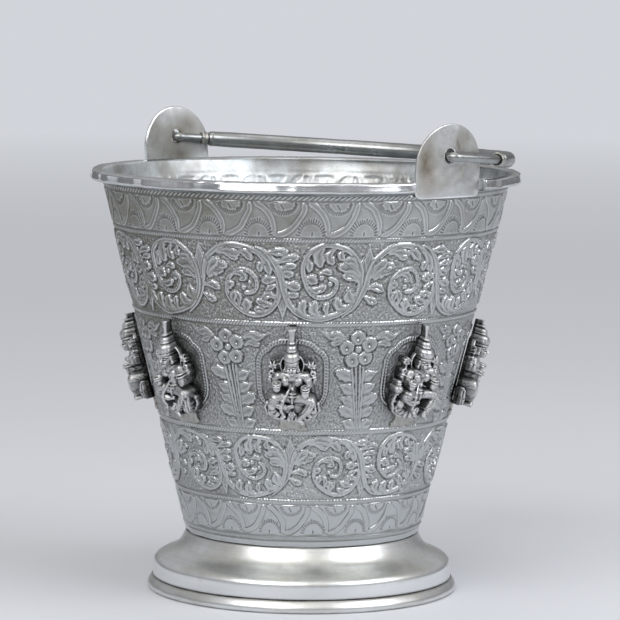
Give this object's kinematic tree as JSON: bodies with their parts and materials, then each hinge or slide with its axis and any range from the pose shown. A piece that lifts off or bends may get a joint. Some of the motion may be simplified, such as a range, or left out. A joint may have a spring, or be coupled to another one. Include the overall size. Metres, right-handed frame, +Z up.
{
  "type": "puja bucket",
  "caption": "Conical metal pail on a flared foot, with chased bands, cast seated deities round the wall, two ears and a swinging bail handle.",
  "frame": {"origin": "on the table under the middle of the foot", "axes": "+Z up, the ears and the bail's hinge along X, the bail lying towards +Y"},
  "size_m": [0.2019, 0.2, 0.2214],
  "materials": {
    "chased_silver": "silver-plated sheet, chased, with dark tarnish in the lines",
    "hammered_silver": "hammered and worn bright",
    "ear_silver": "plain beaten sheet, cloudy tarnish",
    "spun_silver": "spun and brushed satin",
    "cast_silver": "bright cast high points over black recesses",
    "bail_silver": "drawn tube and wire, worn satin",
    "solder": "matt solder"
  },
  "bodies": {
    "bucket": {"body_shell": "chased_silver", "body_floor": "chased_silver", "rim_band": "hammered_silver", "ear_right": "ear_silver", "ear_left": "ear_silver", "foot_pedestal": "spun_silver", "base_ring": "spun_silver", "deity_1": "cast_silver", "deity_2": "cast_silver", "deity_3": "cast_silver", "deity_4": "cast_silver", "deity_5": "cast_silver", "deity_6": "cast_silver", "deity_7": "cast_silver", "deity_8": "cast_silver", "solder_tab_1": "solder", "solder_tab_2": "solder", "solder_tab_3": "solder", "solder_tab_4": "solder", "solder_tab_5": "solder", "solder_tab_6": "solder", "solder_tab_7": "solder", "solder_tab_8": "solder"},
    "bail": {"bail_rod": "bail_silver", "bail_grip_sleeve": "bail_silver", "bail_collar_left": "solder", "bail_collar_right": "solder"}
  },
  "joints": [
    {"name": "bail_hinge", "type": "hinge", "parent": "bucket", "child": "bail", "pos_m": [0, 0, 0.20665], "axis": [1, 0, 0], "range_deg": [0, 187.9]}
  ]
}
